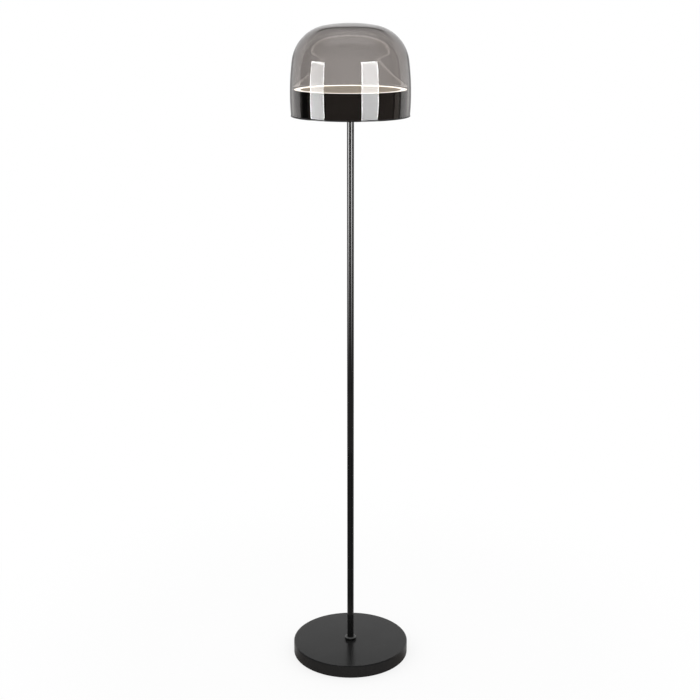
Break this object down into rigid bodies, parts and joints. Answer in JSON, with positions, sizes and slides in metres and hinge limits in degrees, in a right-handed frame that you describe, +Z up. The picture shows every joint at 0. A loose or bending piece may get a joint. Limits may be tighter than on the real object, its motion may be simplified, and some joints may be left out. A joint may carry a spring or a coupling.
{
  "type": "globe floor lamp",
  "caption": "Floor lamp with a weighted round base, a slim black tube and a black drum with a glowing rim under a smoked-glass dome.",
  "frame": {"origin": "centre of the foot, on the floor, on the axis of the pole", "axes": "+Z up the pole to the glass dome, +Y to the back where the cord enters the base, +X to the right seen from the front"},
  "size_m": [0.28, 0.28, 1.5168],
  "materials": {
    "black_paint": "satin black powder coat",
    "foot_foam": "closed-cell foam",
    "zinc_steel": "zinc plated",
    "cast_iron": "as cast",
    "black_nylon": "moulded",
    "terminal_plastic": "moulded",
    "lead_sheath": "extruded sheath",
    "driver_case": "moulded",
    "carrier_aluminium": "turned",
    "board_white": "solder mask",
    "led_phosphor": "silicone dome",
    "opal_diffuser": "opal acrylic, lit",
    "opal_cover": "opal acrylic, softly lit",
    "gasket_rubber": "silicone",
    "smoked_glass": "smoked, clear, polished"
  },
  "bodies": {
    "stand": {"foot_pad": "foot_foam", "bottom_plate": "zinc_steel", "bottom_plate_screws": "zinc_steel", "base_weight": "cast_iron", "base_cover": "black_paint", "cord_gland": "black_nylon", "cord_clamp": "black_nylon", "cord_clamp_screws": "zinc_steel", "terminal_block": "terminal_plastic", "terminal_screw": "zinc_steel", "base_washer": "zinc_steel", "base_lock_washer": "zinc_steel", "base_nut": "zinc_steel", "lower_stud": "zinc_steel", "pole_collar": "black_paint", "lower_insert": "zinc_steel", "pole_tube": "black_paint", "upper_insert": "zinc_steel", "upper_stud": "zinc_steel", "head_plate": "black_paint", "head_washer": "zinc_steel", "head_nut": "zinc_steel", "supply_lead": "lead_sheath", "led_driver": "driver_case", "driver_screws": "zinc_steel", "led_leads": "lead_sheath", "ring_band": "black_paint", "standoffs": "zinc_steel", "standoff_screws": "zinc_steel", "carrier_screws": "zinc_steel", "led_carrier": "carrier_aluminium", "led_board": "board_white", "led_chips": "led_phosphor", "diffuser_ring": "opal_diffuser", "centre_cover": "opal_cover", "glass_gasket": "gasket_rubber"},
    "glass": {"glass_dome": "smoked_glass"}
  },
  "joints": [
    {"name": "glass_lift", "type": "slide", "parent": "stand", "child": "glass", "axis": [0, 0, 1], "range_m": [0, 0.1]}
  ]
}
